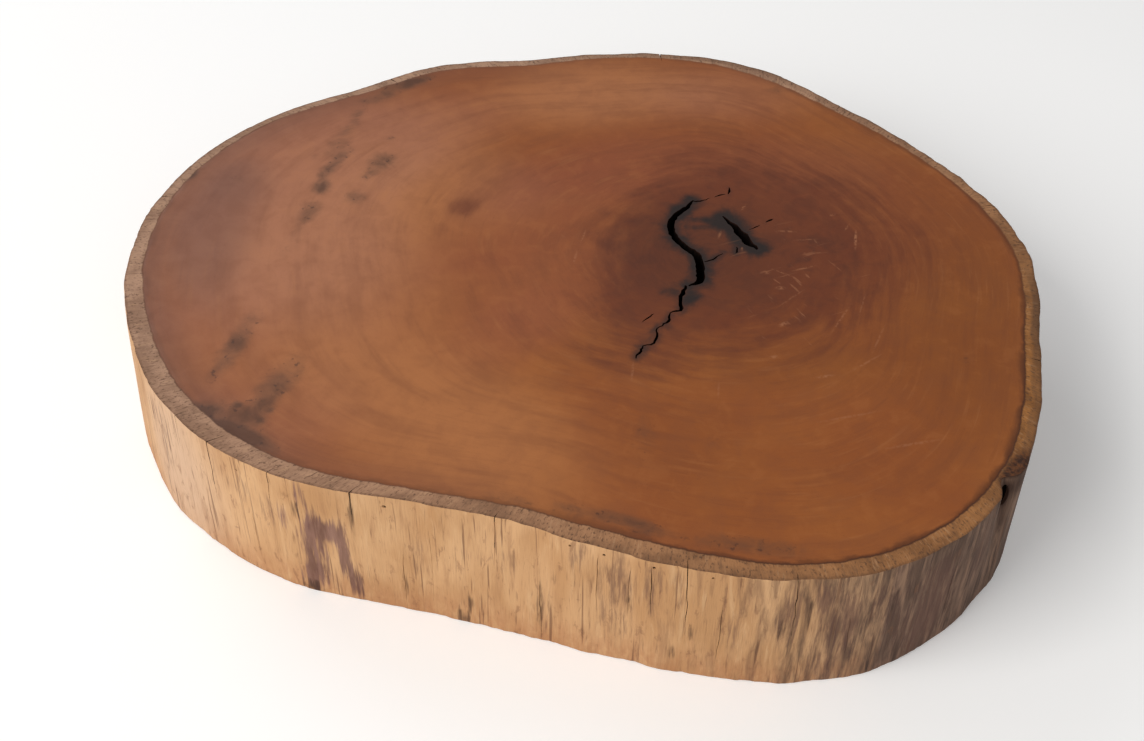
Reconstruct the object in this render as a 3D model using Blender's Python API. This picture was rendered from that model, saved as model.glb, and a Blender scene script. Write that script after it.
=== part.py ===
"""Slice of a tree trunk: bark taken off, both faces sawn flat, with heart cracks and drying checks.

Metres, +Z up. The slice lies on its underside at z = 0, +X runs along its longest
dimension, and the origin is under the middle of its box. Places on the faces are
given from the pith, the centre of the growth rings, in millimetres.
"""
import math

import bmesh
import bpy
import numpy as np

MM = 0.001

# The slice
THICKNESS = 95 * MM
EDGE_BREAK = 1.2 * MM
BEARINGS = 320
WALL_LEVELS = (0.0, EDGE_BREAK, 0.35 * THICKNESS, 0.7 * THICKNESS, THICKNESS - EDGE_BREAK, THICKNESS)

# Distance from the pith to the rim of the upper face, in mm, anticlockwise from +X in even steps
RIM_RADII = (200, 193, 185, 180, 180, 185, 198, 209, 217, 226, 240, 270, 292, 328, 352,
             361, 355, 341, 312, 272, 249, 246, 251, 259, 263, 257, 243, 225, 209, 203)

# How far the wall stands out further at the underside than at the rim, in mm, in even steps from +X
WALL_LEAN = (-2, -1, 0, 1, 2, 3, 3, 2, 0, 0, 1, 3, 5, 5, 1, 1, 4, 0, -2, -2, -3, 0, -1, -2)

# Shallow flutes that run down the debarked wall: how many go round, and their height in mm
FLUTES = ((29, 0.40), (43, 0.32), (67, 0.26), (97, 0.18))
FLUTE_DRIFT = 1.7

# Old branch scar on the rim: the wall folds in, with a swelling beside the fold
FOLD_BEARING = 308.6
FOLD_WIDTH = 1.7
FOLD_DEPTH = 7.5 * MM
FOLD_FADE = 1.5
SWELLING_OFFSET = 4.5
SWELLING_WIDTH = 2.2
SWELLING_HEIGHT = 1.2 * MM

# Cracks in the upper face: (x, y, width) in mm from the pith along each one, and the greatest depth
HEART_CRACK = ((-7, 51, 0.8), (-11, 44, 2.8), (-18, 37, 3.6), (-22, 29, 4.2), (-22, 20, 4.4), (-19, 12, 4.0),
               (-13, 4, 4.2), (-8, -2, 4.8), (-6, -11, 5.4), (-6, -20, 5.0), (-7, -27, 3.8), (-14, -31, 0.9))
ZIGZAG_CRACK = ((-17, -31, 1.6), (-19, -41, 2.4), (-20, -47, 2.0), (-20, -53, 1.8), (-27, -55, 0.7),
                (-27, -60, 1.3), (-29, -65, 1.0), (-34, -69, 0.6), (-35, -75, 1.3), (-37, -81, 1.1),
                (-43, -84, 0.7), (-45, -88, 1.3), (-48, -94, 0.7))
TAIL_CRACK = ((-8, 50, 0.6), (-2, 50, 0.9), (5, 53, 1.0), (13, 56, 0.7), (18, 61, 0.5))
KNOT_CRACK = ((12, 33, 0.8), (16, 27, 2.2), (20, 21, 3.8), (22, 14, 4.8), (25, 8, 3.6), (29, 2, 1.0))
BRANCH_CRACK = ((22, 20, 0.9), (31, 26, 1.0), (43, 32, 0.6))
CRACKS = (("heart", HEART_CRACK, 60 * MM), ("zigzag", ZIGZAG_CRACK, 22 * MM), ("tail", TAIL_CRACK, 8 * MM),
          ("knot", KNOT_CRACK, 34 * MM), ("branch", BRANCH_CRACK, 9 * MM))
SMOOTH_CRACKS = ("heart", "knot")
STEPS_PER_SPAN = 3
CRACK_FLOOR_SHARE = 0.22
ABOVE_FACE = 2 * MM

# Drying checks that split the wall from the rim down: bearing in degrees, opening in mm, depth in mm,
# and the share of the wall's height that they run down
CHECKS = ((204.3, 0.9, 8, 0.35), (209.0, 1.2, 12, 0.60), (215.9, 1.0, 7, 0.50), (223.8, 1.0, 9, 0.45),
          (239.5, 0.9, 6, 0.50), (264.3, 1.1, 9, 0.80), (277.0, 1.0, 7, 0.55), (333.0, 1.0, 8, 0.50),
          (14.0, 1.1, 10, 0.60), (57.0, 0.9, 7, 0.40), (96.0, 1.2, 10, 0.70), (139.0, 1.0, 8, 0.45),
          (171.0, 1.1, 9, 0.55))
OUTSIDE_WALL = 4 * MM
CHECK_END_GAP = 2 * MM

WOOD_COLOUR = (0.26, 0.11, 0.045, 1.0)
WOOD_ROUGHNESS = 0.5
SHARP_EDGE = math.radians(32)


def cubic_span(along, start, end, slope_in, slope_out):
    """Smooth step from start to end with the given slopes, read at shares of the span."""
    return ((2 * along**3 - 3 * along**2 + 1) * start + (along**3 - 2 * along**2 + along) * slope_in
            + (3 * along**2 - 2 * along**3) * end + (along**3 - along**2) * slope_out)


def ring_curve(values, bearing):
    """Smooth closed curve through values set at even bearings, read at bearings in radians."""
    values = np.asarray(values, dtype=float)
    place = np.asarray(bearing, dtype=float) * len(values) / (2 * math.pi)
    step = np.floor(place).astype(int)
    before, start, end, after = (values[(step + shift) % len(values)] for shift in (-1, 0, 1, 2))
    return cubic_span(place - step, start, end, (end - before) / 2, (after - start) / 2)


def path_curve(points, steps):
    """Points of a smooth open curve through the given points, with even steps between each two."""
    padded = np.vstack([2 * points[0] - points[1], points, 2 * points[-1] - points[-2]])
    slopes = (padded[2:] - padded[:-2]) / 2
    along = (np.arange(steps) / steps)[:, None]
    spans = [cubic_span(along, points[i], points[i + 1], slopes[i], slopes[i + 1])
             for i in range(len(points) - 1)]
    return np.vstack(spans + [points[-1:]])


def hump(bearing, centre, width):
    """Bell-shaped hump round the wall: 1 at centre, both in degrees, and 0 far from it."""
    away = (np.degrees(bearing) - centre + 180) % 360 - 180
    return np.exp(-(away / width) ** 2)


def wall_radius(bearing, height):
    """Distance from the pith to the wall: outline, lean, flutes and the fold at the branch scar."""
    share = height / THICKNESS
    radius = ring_curve(RIM_RADII, bearing) * MM
    radius += ring_curve(WALL_LEAN, bearing) * MM * (1 - share)
    for number, (count, size) in enumerate(FLUTES):
        radius += size * MM * np.sin(count * bearing + number * number + FLUTE_DRIFT * share)
    fade = share**FOLD_FADE
    radius -= FOLD_DEPTH * fade * hump(bearing, FOLD_BEARING, FOLD_WIDTH)
    radius += SWELLING_HEIGHT * fade * hump(bearing, FOLD_BEARING + SWELLING_OFFSET, SWELLING_WIDTH)
    return radius


def wall_rings():
    """One ring of points for each level of the wall, from the pith, with both edges broken."""
    bearing = np.arange(BEARINGS) * 2 * math.pi / BEARINGS
    direction = np.stack([np.cos(bearing), np.sin(bearing)], axis=1)
    rings = []
    for level in WALL_LEVELS:
        inset = EDGE_BREAK if level in (WALL_LEVELS[0], WALL_LEVELS[-1]) else 0.0
        rings.append(direction * (wall_radius(bearing, level) - inset)[:, None])
    return np.array(rings)


def add_object(name, bm):
    """Turn a bmesh into a scene object with its faces pointing out."""
    bmesh.ops.recalc_face_normals(bm, faces=bm.faces)
    mesh = bpy.data.meshes.new(name)
    bm.to_mesh(mesh)
    bm.free()
    thing = bpy.data.objects.new(name, mesh)
    bpy.context.scene.collection.objects.link(thing)
    return thing


def closed_loop(bm, points):
    """A closed ring of vertices and edges through the points."""
    verts = [bm.verts.new(point) for point in points]
    edges = [bm.edges.new((vert, verts[i - 1])) for i, vert in enumerate(verts)]
    return verts, edges


def slice_body(rings, pith):
    """The solid slice: a bridged stack of rings, closed by the two flat faces."""
    bm = bmesh.new()
    loops = [closed_loop(bm, [(x + pith[0], y + pith[1], level) for x, y in ring])
             for ring, level in zip(rings, WALL_LEVELS)]
    for (_, lower), (_, upper) in zip(loops, loops[1:]):
        bmesh.ops.bridge_loops(bm, edges=lower + upper)
    for verts, _ in (loops[0], loops[-1]):
        bm.faces.new(verts)
    return add_object("wood_slice", bm)


def tube(bm, sections):
    """Closed tube through sections that all have the same number of corners."""
    rows = [[bm.verts.new(corner) for corner in section] for section in sections]
    corners = len(rows[0])
    for row, following in zip(rows, rows[1:]):
        for i in range(corners):
            j = (i + 1) % corners
            bm.faces.new((row[i], row[j], following[j], following[i]))
    bm.faces.new(rows[0][::-1])
    bm.faces.new(rows[-1])


def crack_cutter(name, stations, depth, pith):
    """Ribbon along a crack, as wide as each station says at the face and narrow at its floor."""
    stations = np.array(stations, dtype=float) * MM
    if name in SMOOTH_CRACKS:
        stations = path_curve(stations, STEPS_PER_SPAN)
    place = stations[:, :2] + pith
    heading = np.gradient(place, axis=0)
    heading /= np.linalg.norm(heading, axis=1)[:, None]
    across = np.stack([-heading[:, 1], heading[:, 0]], axis=1) * stations[:, 2:] / 2
    floor = THICKNESS - depth * np.sqrt(stations[:, 2] / stations[:, 2].max())
    sections = []
    for point, half, low in zip(place, across, floor):
        corners = ((1.0, THICKNESS + ABOVE_FACE), (-1.0, THICKNESS + ABOVE_FACE),
                   (-CRACK_FLOOR_SHARE, low), (CRACK_FLOOR_SHARE, low))
        sections.append([(*(point + half * reach), level) for reach, level in corners])
    bm = bmesh.new()
    tube(bm, sections)
    return add_object(name + "_crack_cutter", bm)


def checks_cutter(pith):
    """Thin wedges that split the wall, deepest at the rim and fading out down the wall."""
    bm = bmesh.new()
    for degrees, opening, depth, share in CHECKS:
        bearing = math.radians(degrees)
        outward = np.array([math.cos(bearing), math.sin(bearing)])
        across = np.array([-outward[1], outward[0]])
        mouth = across * opening * MM / 2 * (depth * MM + OUTSIDE_WALL) / (depth * MM)
        end = THICKNESS * (1 - share)
        sections = []
        for level, tip in ((THICKNESS + ABOVE_FACE, -depth * MM), (end, CHECK_END_GAP)):
            wall = wall_radius(bearing, min(level, THICKNESS))
            corners = (outward * (wall + OUTSIDE_WALL) + mouth,
                       outward * (wall + tip),
                       outward * (wall + OUTSIDE_WALL) - mouth)
            sections.append([(*(pith + corner), level) for corner in corners])
        tube(bm, sections)
    return add_object("drying_checks_cutter", bm)


def wood_material():
    """Plain oiled heartwood."""
    material = bpy.data.materials.new("oiled_wood")
    material.use_nodes = True
    shader = material.node_tree.nodes["Principled BSDF"]
    shader.inputs["Base Color"].default_value = WOOD_COLOUR
    shader.inputs["Roughness"].default_value = WOOD_ROUGHNESS
    shader.inputs["Metallic"].default_value = 0.0
    return material


def main():
    for thing in list(bpy.data.objects):
        bpy.data.objects.remove(thing, do_unlink=True)

    rings = wall_rings()
    places = rings.reshape(-1, 2)
    pith = -(places.min(axis=0) + places.max(axis=0)) / 2
    wood_slice = slice_body(rings, pith)
    wood_slice.data.materials.append(wood_material())

    cutters = [crack_cutter(name, stations, depth, pith) for name, stations, depth in CRACKS]
    cutters.append(checks_cutter(pith))
    for cutter in cutters:
        cutter.hide_render = True
        cutter.display_type = "WIRE"
        cut = wood_slice.modifiers.new(cutter.name.replace("cutter", "cut"), "BOOLEAN")
        cut.operation = "DIFFERENCE"
        cut.solver = "EXACT"
        cut.object = cutter

    wood_slice.data.shade_smooth()
    wood_slice.data.set_sharp_from_angle(angle=SHARP_EDGE)


main()
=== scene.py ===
"""Looks of the wood slice: an oiled, sanded upper face, a dry sapwood ring and a debarked wall."""
import math

import bpy
import numpy as np
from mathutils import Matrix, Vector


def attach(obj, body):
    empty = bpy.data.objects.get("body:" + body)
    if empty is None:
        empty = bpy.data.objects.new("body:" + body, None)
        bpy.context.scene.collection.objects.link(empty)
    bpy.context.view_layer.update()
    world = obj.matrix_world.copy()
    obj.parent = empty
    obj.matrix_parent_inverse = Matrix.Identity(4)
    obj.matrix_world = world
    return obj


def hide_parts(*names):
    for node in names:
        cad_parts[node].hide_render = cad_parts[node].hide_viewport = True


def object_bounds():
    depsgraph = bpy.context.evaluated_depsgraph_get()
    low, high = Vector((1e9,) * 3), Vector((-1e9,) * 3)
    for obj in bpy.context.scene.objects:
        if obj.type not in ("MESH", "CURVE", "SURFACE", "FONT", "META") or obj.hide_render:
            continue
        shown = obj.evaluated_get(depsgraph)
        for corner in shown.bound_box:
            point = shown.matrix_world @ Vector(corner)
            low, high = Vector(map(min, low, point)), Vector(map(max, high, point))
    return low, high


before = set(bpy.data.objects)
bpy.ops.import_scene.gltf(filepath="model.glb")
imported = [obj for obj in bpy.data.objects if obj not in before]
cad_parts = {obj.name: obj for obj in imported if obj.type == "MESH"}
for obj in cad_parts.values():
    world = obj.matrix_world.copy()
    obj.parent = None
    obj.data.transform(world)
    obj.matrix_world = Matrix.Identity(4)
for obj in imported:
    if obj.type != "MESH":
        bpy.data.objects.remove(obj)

cad_low, cad_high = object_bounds()

# The view
# The slice is seen from in front and above, 45 degrees down, with all of it in the frame and room
# round it.
CAMERA_PLACE = (-0.0025, -0.7813, 0.7914)
CAMERA_TILT = math.radians(45)
CAMERA_LENS = 53.5
CAMERA_SENSOR = 36.0
CAMERA_NEAR = 0.01

camera = bpy.data.objects.new("view_camera", bpy.data.cameras.new("view_camera"))
camera.location = CAMERA_PLACE
camera.rotation_euler = (CAMERA_TILT, 0.0, 0.0)
camera.data.lens = CAMERA_LENS
camera.data.sensor_width = CAMERA_SENSOR
camera.data.clip_start = CAMERA_NEAR
bpy.context.scene.collection.objects.link(camera)
bpy.context.scene.camera = camera

# The body of the slice
# One thick piece of trunk, sawn flat on both faces. Its outline swells to the left, where the tree
# grew fastest, and its wall was debarked, so shallow flutes and torn fibres run down it.
MM = 0.001
THICKNESS = cad_high.z
# In even steps from +X: how far the rim lies from the pith, and how much further out the foot does, in
# mm. Flutes: how many go round, and their size in mm
RIM_RADII = (
    200, 193, 185, 180, 180, 185, 198, 209, 217, 226, 240, 270, 292, 328, 352, 361, 355, 341, 312, 272,
    249, 246, 251, 259, 263, 257, 243, 225, 209, 203)
WALL_LEAN = (-2, -1, 0, 1, 2, 3, 3, 2, 0, 0, 1, 3, 5, 5, 1, 1, 4, 0, -2, -2, -3, 0, -1, -2)
FLUTES = ((29, 0.3), (43, 0.18), (67, 0.12), (97, 0.07))
FLUTE_DRIFT = 1.7
# The fold at the branch scar and the swelling beside it: bearings and widths in degrees
FOLD_BEARING = 308.6
FOLD_WIDTH = 1.7
FOLD_DEPTH = 7.5 * MM
FOLD_FADE = 1.5
SWELLING_OFFSET = 4.5
SWELLING_WIDTH = 2.2
SWELLING_HEIGHT = 1.2 * MM

# Torn fibres of the wall: how many go round, how many fit in the height, relief in mm, seed
FIBRES = ((130, 1.6, 0.17, 11), (330, 2.6, 0.13, 12), (700, 4.5, 0.08, 13))
SHEETS = (70, 1.3, 0.22, 14)
# How far the fibres drift sideways, and how fast that goes down the wall and round it; where a sheet
# of bast starts and ends being torn off; the lattice rows where the fibres and the sheets begin
FIBRE_DRIFT, DRIFT_DOWN, DRIFT_ROUND = 0.6, 5, 6.3
SHEET_EDGE, FIBRE_ROW, SHEET_ROW = (0.05, 0.18), 7, 3
WALL_MARGIN = 0.4 * MM

# Pale sapwood: width of the ring on the face, in mm, in even steps from +X
SAPWOOD = (
    9.5, 9, 7.5, 7, 7.5, 8.5, 10, 8, 6, 6, 8, 8, 7.5, 7, 8, 10.5, 13, 14.5, 14, 11, 11, 12.5, 12.5, 11,
    11.5, 11.5, 10.5, 11, 10, 9.5)
LEAST_SAPWOOD = 3.4 * MM

# The mesh: bearings round the wall, fine steps that measure the outline, rows on the faces, and the
# levels of the wall in mm under the rim
BEARINGS = 1152
FINE_STEPS = 3600
FACE_ROWS = 90
UNDER_ROWS = 30
LEAST_COUNT = 18
RIM_STEPS = (3.0, 1.7, 0.8, 0.0)
RING_STEPS = (0.88, 0.66, 0.42, 0.18, 0.0)
EDGE_LEVELS = (0.5, 1.4, 3.0)
WALL_ROWS = 20
FOOT_LEVEL = 3.2 * MM
HEART_INSET = 4.5 * MM
UNDER_INSET = 8.0 * MM

# Relief of the upper face: how far the sanded face lies under the CAD's, and the size of its waves;
# the dip at the heartwood's edge and its width in mm; where the dry ring starts, how far it lies lower
# and its grit, with the grains round the rim and the lattice rows across the ring
SWELL_DROP, SWELL = 0.10 * MM, 0.06 * MM
LINE_DIP, LINE_DIP_WIDTH = 0.28 * MM, 0.9
RING_START, RING_SINK, RING_GRIT = 1.0 * MM, 0.16 * MM, 0.10 * MM
GRIT_COUNT, GRIT_SPREAD = 800, 9
# Coarse and fine chips of the edges: how many fit round and their lattice rows; then their size on
# the ring, the rim and the foot, and how many mm down the rim's fade
CHIP_COUNTS, CHIP_ROWS = (210, 640), (2, 5)
RING_CHIP, EDGE_CHIP, FOOT_CHIP, EDGE_FADE = 0.32 * MM, 0.40 * MM, 0.45 * MM, 1.1
LATTICE_ROWS = 64
# An edge's break in shares of its size: the even part, the fine chips and the large ones; then how
# much of the fine field joins the coarse one, and where a large chip starts and is whole
EVEN_BREAK, FINE_BREAK, LARGE_BREAK = 0.45, 0.25, 0.9
FIELD_MIX, LARGE_CHIP = 0.4, (0.25, 0.95)
# The torn row over the foot: how far it lies in, its lowest level and its rise in shares of the lowest
# row of the wall, and the size and drop of the break that it follows
TORN_INSET, TORN_LEVEL, TORN_RISE, TORN_BREAK, TORN_DROP = 0.1 * MM, 0.25, 0.3, 0.6, 0.2
# Seeds of the chips at the rim, of the torn foot and its edge, and of the grit
RIM_SEED, TORN_SEED, FOOT_SEED, GRIT_SEED = 31, 41, 43, 21
# Waves left by the sander: how fast each goes along X and Y and where it starts, and the share of the
# slanting one
SWELL_WAVES, SLANT_SHARE = ((31, 0, 1.3), (0, 37, 0.4), (62, -51, 2.0)), 0.6


def cubic_span(along, start, end, slope_in, slope_out):
    """Smooth step from start to end with the given slopes, read at shares of the span."""
    return ((2 * along**3 - 3 * along**2 + 1) * start + (along**3 - 2 * along**2 + along) * slope_in
            + (3 * along**2 - 2 * along**3) * end + (along**3 - along**2) * slope_out)


def ring_curve(values, bearing):
    """Smooth closed curve through values set at even bearings, read at bearings in radians."""
    values = np.asarray(values, dtype=float)
    place = np.asarray(bearing, dtype=float) * len(values) / (2 * math.pi)
    step = np.floor(place).astype(int)
    before, start, end, after = (values[(step + shift) % len(values)] for shift in (-1, 0, 1, 2))
    return cubic_span(place - step, start, end, (end - before) / 2, (after - start) / 2)


def hump(bearing, centre, width):
    """Bell-shaped hump round the wall: 1 at centre, both in degrees, and 0 far from it."""
    away = (np.degrees(bearing) - centre + 180) % 360 - 180
    return np.exp(-(away / width) ** 2)


def wall_radius(bearing, height):
    """Distance from the pith to the wall: outline, lean, flutes and the fold at the branch scar."""
    share = height / THICKNESS
    radius = ring_curve(RIM_RADII, bearing) * MM
    radius += ring_curve(WALL_LEAN, bearing) * MM * (1 - share)
    for number, (count, size) in enumerate(FLUTES):
        radius += size * MM * np.sin(count * bearing + number * number + FLUTE_DRIFT * share)
    fade = np.clip(share, 0, 1) ** FOLD_FADE
    radius -= FOLD_DEPTH * fade * hump(bearing, FOLD_BEARING, FOLD_WIDTH)
    radius += SWELLING_HEIGHT * fade * hump(bearing, FOLD_BEARING + SWELLING_OFFSET, SWELLING_WIDTH)
    return radius


def heart_radius(bearing):
    """Distance from the pith to the edge of the heartwood: a sapwood's width inside the smooth outline,
    which ignores the flutes and the fold, but always a little inside the wall."""
    smooth = (ring_curve(RIM_RADII, bearing) - ring_curve(SAPWOOD, bearing)) * MM
    return np.minimum(smooth, wall_radius(bearing, THICKNESS) - LEAST_SAPWOOD)


def even_share(bearing):
    """Share of the way round the rim, from +X, measured along the outline."""
    return np.interp(bearing % (2 * math.pi), FINE_BEARINGS, FINE_SHARES)


def grown_noise(around, across, cells, seed):
    """Random field from -1 to 1: seeded values on a lattice that closes after `cells` steps, eased
    between by 3t^2 - 2t^3 in both directions."""
    table = np.random.default_rng(seed).uniform(-1, 1, (cells, LATTICE_ROWS))
    i, j = np.floor(around).astype(int), np.floor(across).astype(int)
    u, v = around - i, across - j
    u, v = u * u * (3 - 2 * u), v * v * (3 - 2 * v)
    here, after, low, high = i % cells, (i + 1) % cells, j % LATTICE_ROWS, (j + 1) % LATTICE_ROWS
    near = table[here, low] * (1 - u) + table[after, low] * u
    far = table[here, high] * (1 - u) + table[after, high] * u
    return near * (1 - v) + far * v


def rise(value, low, high):
    """Smooth rise from 0 to 1 as the value goes from low to high."""
    along = np.clip((value - low) / (high - low), 0, 1)
    return along * along * (3 - 2 * along)


def torn_wall(bearing, height):
    """Distance from the pith to the debarked wall: the CAD's wall, a little inside it, with fibre
    ridges of three sizes and sheets of bast that are torn off in shallow steps."""
    share, up = even_share(bearing), height / THICKNESS
    relief = np.zeros_like(bearing)
    for count, tall, size, seed in FIBRES:
        drift = FIBRE_DRIFT * np.sin(DRIFT_DOWN * up + DRIFT_ROUND * share)
        relief += size * MM * grown_noise(share * count + drift, up * tall + FIBRE_ROW, count, seed)
    count, tall, size, seed = SHEETS
    sheet = grown_noise(share * count, up * tall + SHEET_ROW, count, seed)
    relief -= size * MM * rise(sheet, *SHEET_EDGE)
    return wall_radius(bearing, height) - WALL_MARGIN + relief


def closed_row(bearing, radius, height):
    """One closed row of points round the pith, at a radius and a height for each bearing."""
    return np.column_stack([radius * np.cos(bearing), radius * np.sin(bearing), 0 * bearing + height])


def count_at(share):
    """Points in a row of a face at this share of the way out: halved each time the row is half as far."""
    count = BEARINGS // 2
    while share < 0.5 and count > LEAST_COUNT:
        share, count = share * 2, count // 2
    return count


def bridge(first, count_in, second, count_out):
    """Faces between two closed rows that start at vertices first and second: squares where the rows
    have as many points, and three triangles to a step where one has twice as many."""
    if count_in == count_out:
        i = np.arange(count_in)
        j = (i + 1) % count_in
        return [np.stack([first + i, second + i, second + j, first + j], axis=1)]
    i = np.arange(min(count_in, count_out))
    j = (i + 1) % len(i)
    even, odd, after = 2 * i, 2 * i + 1, (2 * i + 2) % (2 * len(i))
    if count_in < count_out:
        triples = ((first + i, second + even, second + odd), (first + i, second + odd, first + j),
                   (first + j, second + odd, second + after))
    else:
        triples = ((first + even, second + i, first + odd), (first + odd, second + i, second + j),
                   (first + odd, second + j, first + after))
    return [np.stack(triple, axis=1) for triple in triples]


def face_swell(bearing, radius):
    """Low waves that the sander left in the upper face, in metres, never above the CAD's face."""
    x, y = radius * np.cos(bearing), radius * np.sin(bearing)
    along, across, slant = (np.sin(x * in_x + y * in_y + start) for in_x, in_y, start in SWELL_WAVES)
    return THICKNESS - SWELL_DROP - SWELL * (along * across + SLANT_SHARE * slant)


def chipped(bearing, size, seed):
    """Broken edge, in metres: an even break with small chips where two random fields agree."""
    share = even_share(bearing)
    coarse, fine = (grown_noise(share * count, share * 0 + row, count, seed + number)
                    for number, (count, row) in enumerate(zip(CHIP_COUNTS, CHIP_ROWS)))
    large = rise(coarse + FIELD_MIX * fine, *LARGE_CHIP)
    return size * (EVEN_BREAK + FINE_BREAK * (fine + 1) + LARGE_BREAK * large)


def slice_rows():
    """The slice as closed rows, from the middle of the upper face, over the rim, down the wall and in
    to the middle of the underside."""
    rows = []
    for step in range(1, FACE_ROWS + 1):
        share = step / FACE_ROWS
        bearing = ROUND[:: BEARINGS // count_at(share)]
        radius = (heart_radius(bearing) - HEART_INSET) * share
        rows.append(closed_row(bearing, radius, face_swell(bearing, radius)))

    heart, rim, foot = heart_radius(ROUND), torn_wall(ROUND, THICKNESS), torn_wall(ROUND, 0.0)
    for step in RIM_STEPS:
        radius = heart - step * MM
        dip = LINE_DIP * math.exp(-(step / LINE_DIP_WIDTH) ** 2)
        rows.append(closed_row(ROUND, radius, face_swell(ROUND, radius) - dip))
    grains_round = even_share(ROUND) * GRIT_COUNT
    for step in RING_STEPS:
        inset = RING_START + (rim - heart - RING_START) * step
        radius = rim - inset - chipped(ROUND, RING_CHIP, RIM_SEED) * (step == 0)
        grit = grown_noise(grains_round, 0 * ROUND + step * GRIT_SPREAD, GRIT_COUNT, GRIT_SEED)
        rows.append(closed_row(ROUND, radius, face_swell(ROUND, radius) - RING_SINK - RING_GRIT * grit))

    for drop in EDGE_LEVELS:
        level = THICKNESS - drop * MM
        broken = chipped(ROUND, EDGE_CHIP, RIM_SEED) * math.exp(-(drop / EDGE_FADE) ** 2)
        rows.append(closed_row(ROUND, torn_wall(ROUND, level) - broken, level))
    top_level = THICKNESS - EDGE_LEVELS[-1] * MM
    for step in range(1, WALL_ROWS + 1):
        level = top_level + (FOOT_LEVEL - top_level) * step / WALL_ROWS
        rows.append(closed_row(ROUND, torn_wall(ROUND, level), level))

    uneven = np.clip(chipped(ROUND, TORN_BREAK, TORN_SEED) - TORN_DROP, 0, 1)
    rows.append(closed_row(ROUND, foot - TORN_INSET, FOOT_LEVEL * (TORN_LEVEL + TORN_RISE * uneven)))
    rows.append(closed_row(ROUND, foot - chipped(ROUND, FOOT_CHIP, FOOT_SEED), 0.0))
    rows.append(closed_row(ROUND[::2], foot[::2] - UNDER_INSET / 2, 0.0))
    for step in range(UNDER_ROWS):
        share = 1 - step / UNDER_ROWS
        bearing = ROUND[:: 2 * BEARINGS // count_at(share)]
        rows.append(closed_row(bearing, (torn_wall(bearing, 0.0) - UNDER_INSET) * share, 0.0))
    return rows


def slice_mesh(name, rows, pith):
    """Closed mesh through the rows, with a fan of triangles at the middle of each face."""
    counts = [len(row) for row in rows]
    starts = np.cumsum([0] + counts)
    middle_top = np.array([[0.0, 0.0, rows[0][:, 2].mean()]])
    middle_under = np.array([[0.0, 0.0, 0.0]])
    points = np.vstack(rows + [middle_top, middle_under]) + np.array([pith[0], pith[1], 0.0])
    faces = []
    for k in range(len(rows) - 1):
        for part in bridge(starts[k], counts[k], starts[k + 1], counts[k + 1]):
            faces += part.tolist()
    i = np.arange(counts[0])
    faces += np.stack([0 * i + starts[-1], i, (i + 1) % counts[0]], axis=1).tolist()
    i = np.arange(counts[-1])
    last = starts[-2]
    faces += np.stack([last + i, 0 * i + starts[-1] + 1, last + (i + 1) % counts[-1]], axis=1).tolist()
    mesh = bpy.data.meshes.new(name)
    mesh.from_pydata(points, [], faces)
    return mesh


FINE_BEARINGS = np.linspace(0, 2 * math.pi, FINE_STEPS + 1)
fine_rim = wall_radius(FINE_BEARINGS, THICKNESS)
fine_outline = np.stack([fine_rim * np.cos(FINE_BEARINGS), fine_rim * np.sin(FINE_BEARINGS)], axis=1)
fine_steps = np.linalg.norm(np.diff(fine_outline, axis=0), axis=1)
OUTLINE_LENGTH = fine_steps.sum()
FINE_SHARES = np.concatenate([[0.0], np.cumsum(fine_steps)]) / OUTLINE_LENGTH
ROUND = np.interp(np.arange(BEARINGS) / BEARINGS, FINE_SHARES, FINE_BEARINGS)

WALL_LEVELS = (0.0125, 0.35, 0.7, 0.9875)
wall_places = np.array([wall_radius(FINE_BEARINGS, level * THICKNESS) for level in WALL_LEVELS])
spans = np.stack([wall_places * np.cos(FINE_BEARINGS), wall_places * np.sin(FINE_BEARINGS)], axis=-1)
PITH = -(spans.min(axis=(0, 1)) + spans.max(axis=(0, 1))) / 2

wood_slice = bpy.data.objects.new("wood_slice_fine", slice_mesh("wood_slice_fine", slice_rows(), PITH))
bpy.context.scene.collection.objects.link(wood_slice)

# Cracks, checks and worm holes
# The heart opened as the slice dried: one deep S-shaped crack, a zigzag that follows it, a knot crack
# and fine branches. Thin checks split the sapwood from the rim down, and beetles left round holes.

# Stations of each crack: x, y and width in mm
HEART_CRACK = (
    (-7, 51, 0.8), (-11, 44, 2.8), (-18, 37, 3.6), (-22, 29, 4.2), (-22, 20, 4.4), (-19, 12, 4.0),
    (-13, 4, 4.2), (-8, -2, 4.8), (-6, -11, 5.4), (-6, -20, 5.0), (-7, -27, 3.8), (-14, -31, 0.9))
ZIGZAG_CRACK = (
    (-15, -31, 1.4), (-18, -38, 2.6), (-20, -46, 2.2), (-20, -53, 2.0), (-26, -55, 0.8), (-27, -61, 1.6),
    (-30, -65, 1.0), (-34, -69, 0.7), (-35, -75, 1.5), (-37, -81, 1.2), (-43, -84, 0.8), (-45, -88, 1.6),
    (-48, -94, 0.7))
TAIL_CRACK = ((-8, 50, 0.6), (-4, 50, 1.3), (0, 51, 0.8), (4, 53, 0.3))
TAIL_DASH = ((7, 54, 0.3), (10, 56, 1.1), (14, 57, 0.5))
KNOT_CRACK = ((11, 35, 0.9), (15, 29, 2.6), (19, 23, 4.6), (22, 16, 6.0), (26, 9, 4.8), (31, 3, 1.4))
SIDE_CRACK = ((-36, -56, 0.4), (-39, -59, 1.1), (-43, -63, 0.4))
LINK_CRACK = ((-3, -9, 0.6), (2, -7, 1.2), (5, -4, 0.9), (9, -1, 0.4))
SPUR_CRACK = ((18, 5, 0.7), (18, 1, 1.2), (17, -1, 0.4))
DOT_CRACK = ((17, 64, 0.5), (17, 60, 1.5), (16, 57, 0.5))
BRANCH_DASH = ((27, 22, 0.3), (31, 24, 0.9), (34, 26, 0.3))
BRANCH_DOT = ((38, 29, 0.5), (41, 31, 1.6), (43, 32, 0.5))
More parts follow.
